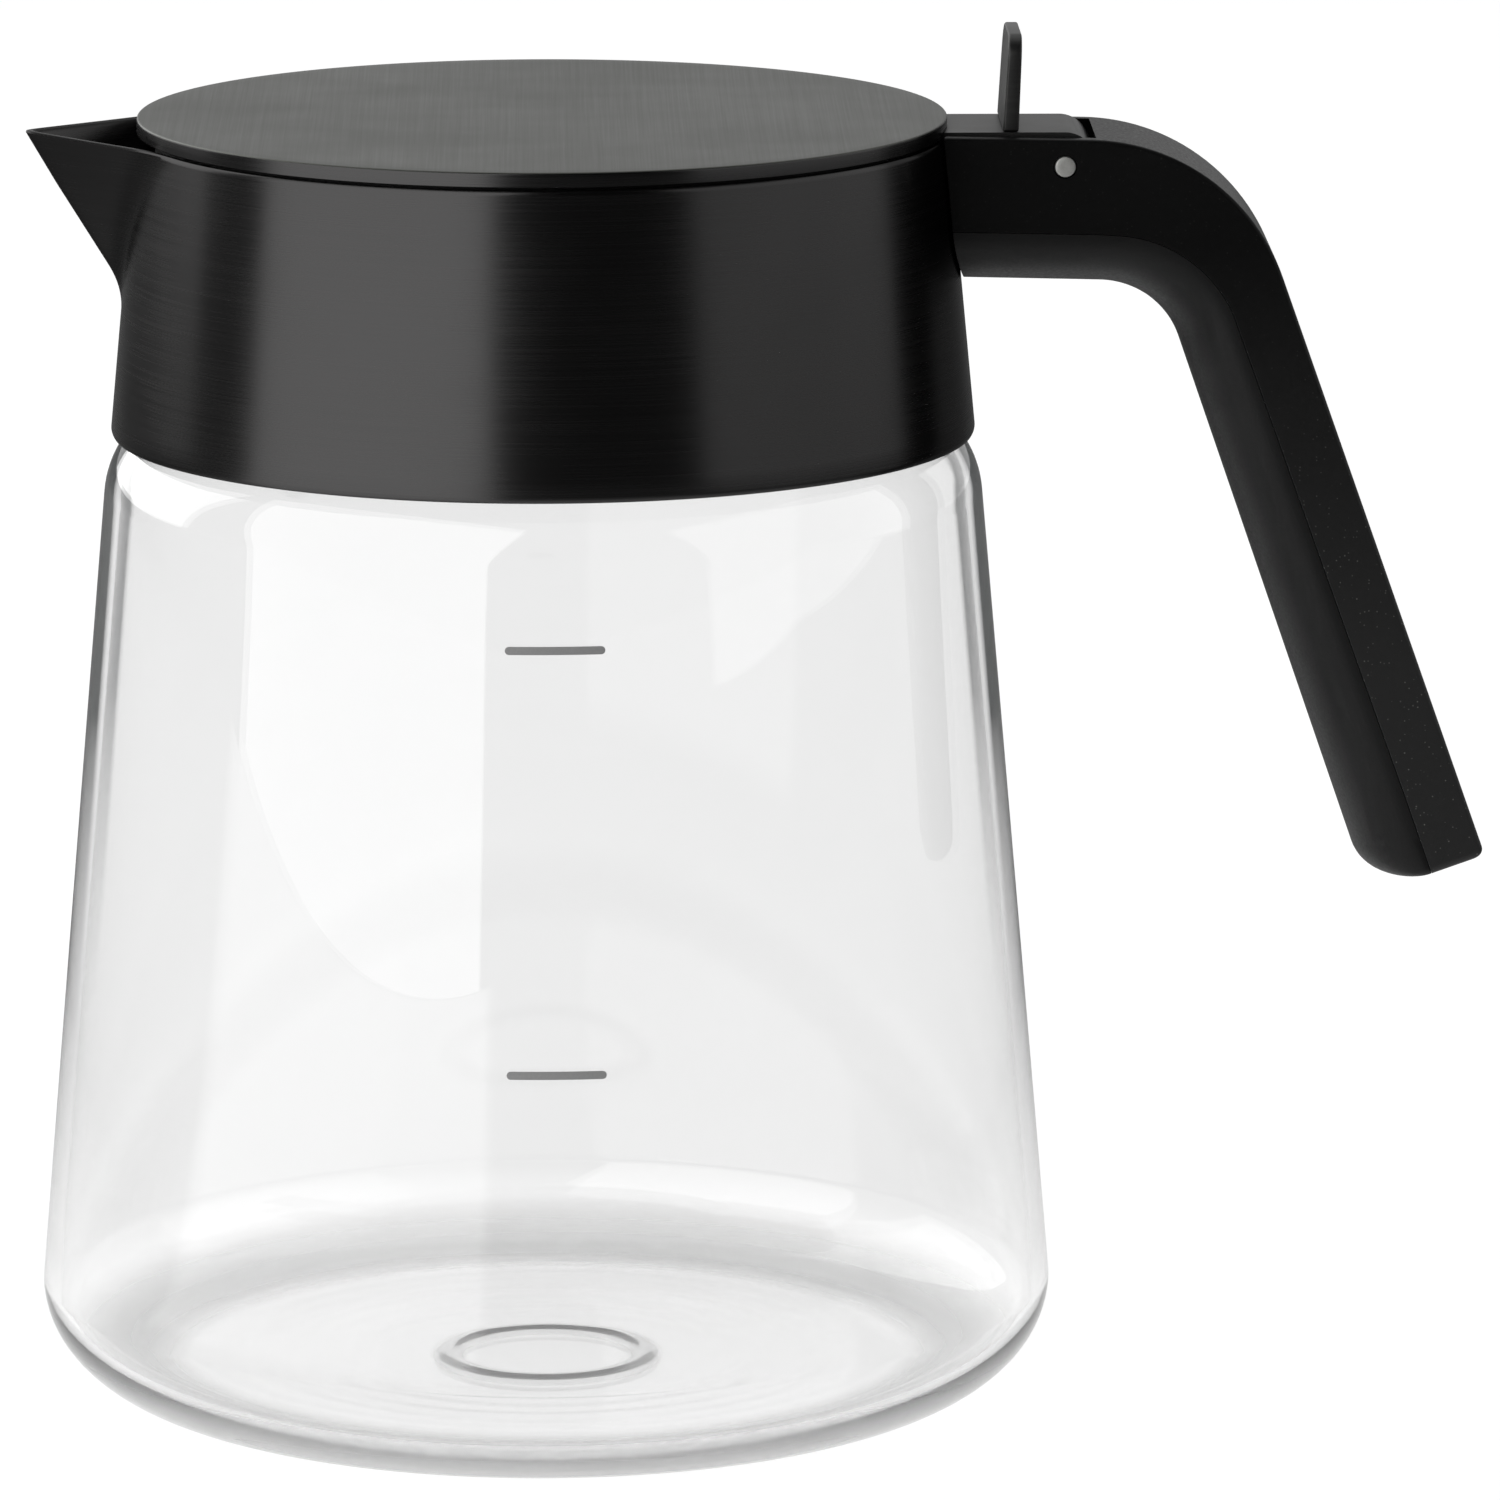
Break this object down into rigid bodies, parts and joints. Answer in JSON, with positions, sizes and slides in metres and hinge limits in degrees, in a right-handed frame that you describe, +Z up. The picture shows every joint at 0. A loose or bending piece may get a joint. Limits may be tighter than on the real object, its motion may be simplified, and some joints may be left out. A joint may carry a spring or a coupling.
{
  "type": "coffee server",
  "caption": "Glass coffee jug with a black steel collar and folded pouring spout, a hinged steel lid with a thumb lever, and a moulded handle.",
  "frame": {"origin": "centre of the underside of the glass base, on the jug's axis", "axes": "+Z up along the jug's axis, +X towards the handle, -X towards the spout; XZ is the plane of symmetry"},
  "size_m": [0.1758, 0.1234, 0.1668],
  "materials": {
    "clear_glass": "clear, polished, borosilicate",
    "black_steel": "black coated steel, brushed around the axis, satin",
    "lid_steel": "dark coated steel, brushed, satin",
    "handle_plastic": "matt black moulded",
    "inner_plastic": "matt black moulded",
    "silicone": "black, matt",
    "bright_steel": "bare turned stainless steel"
  },
  "bodies": {
    "jug": {"glass_body": "clear_glass", "collar": "black_steel", "neck_gasket": "silicone", "neck_ring": "inner_plastic", "pour_seal": "silicone", "handle_outer": "handle_plastic", "handle_inner": "handle_plastic", "handle_bracket": "bright_steel", "deck_screw_left": "bright_steel", "deck_screw_right": "bright_steel", "hinge_pin": "bright_steel", "arm_bumper": "silicone"},
    "lid": {"lid_disc": "lid_steel", "lid_arm": "lid_steel", "thumb_lever": "lid_steel", "lid_insert": "inner_plastic", "lid_gasket": "silicone", "lid_screw_1": "bright_steel", "lid_screw_2": "bright_steel", "lid_screw_3": "bright_steel"}
  },
  "joints": [
    {"name": "lid_hinge", "type": "hinge", "parent": "jug", "child": "lid", "pos_m": [0.0625, 0, 0.15136], "axis": [0, 1, 0], "range_deg": [0, 80]}
  ]
}
